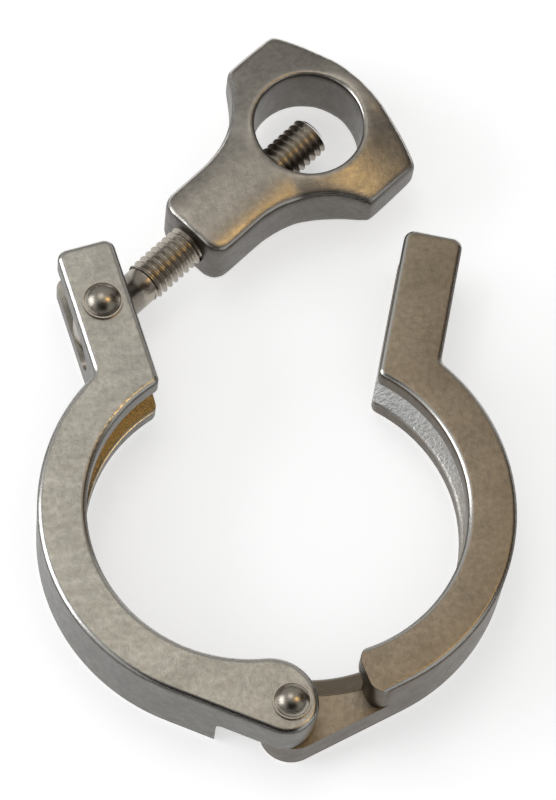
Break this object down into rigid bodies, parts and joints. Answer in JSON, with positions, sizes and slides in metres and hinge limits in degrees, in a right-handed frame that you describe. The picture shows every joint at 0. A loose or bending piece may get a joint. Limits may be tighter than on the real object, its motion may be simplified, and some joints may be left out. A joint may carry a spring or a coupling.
{
  "type": "sanitary hinged clamp",
  "caption": "Hinged cast clamp for two round pipe flanges: a grooved ring in two halves on a riveted hinge, shut by a swing bolt with a wing nut.",
  "frame": {"origin": "on the bore axis of the bolt-side half, at mid-height of the castings, where the gasket of a closed joint lies", "axes": "+Z along the bore axis, towards the rivet heads; +Y from the hinge towards the lugs; +X from the bolt-side half towards the ring-side half"},
  "size_m": [0.0879, 0.1386, 0.0209],
  "materials": {
    "cast_bolt_half": "cast stainless steel, tumbled to a satin with bright edges",
    "cast_ring_half": "cast stainless steel, tumbled to a satin with bright edges",
    "rivet": "turned stainless steel, polished dome",
    "bolt": "rolled stainless steel thread, polished",
    "cast_nut": "cast stainless steel, tumbled to a satin with bright edges"
  },
  "bodies": {
    "bolt_half": {"bolt_half": "cast_bolt_half", "hinge_rivet": "rivet", "pivot_rivet": "rivet"},
    "ring_half": {"ring_half": "cast_ring_half"},
    "swing_bolt": {"swing_bolt": "bolt"},
    "wing_nut": {"wing_nut": "cast_nut"}
  },
  "joints": [
    {"name": "ring_hinge", "type": "hinge", "parent": "bolt_half", "child": "ring_half", "pos_m": [0, -0.0376, 0], "axis": [0, 0, -1], "range_deg": [-16, 167.6]},
    {"name": "bolt_swing", "type": "hinge", "parent": "bolt_half", "child": "swing_bolt", "pos_m": [-0.0175, 0.0444, 0], "axis": [0, 0, 1], "range_deg": [0, 175]},
    {"name": "nut_spin", "type": "hinge", "parent": "swing_bolt", "child": "wing_nut", "pos_m": [-0.0175, 0.0444, 0], "axis": [0.8387, 0.5446, 0], "continuous": true}
  ]
}
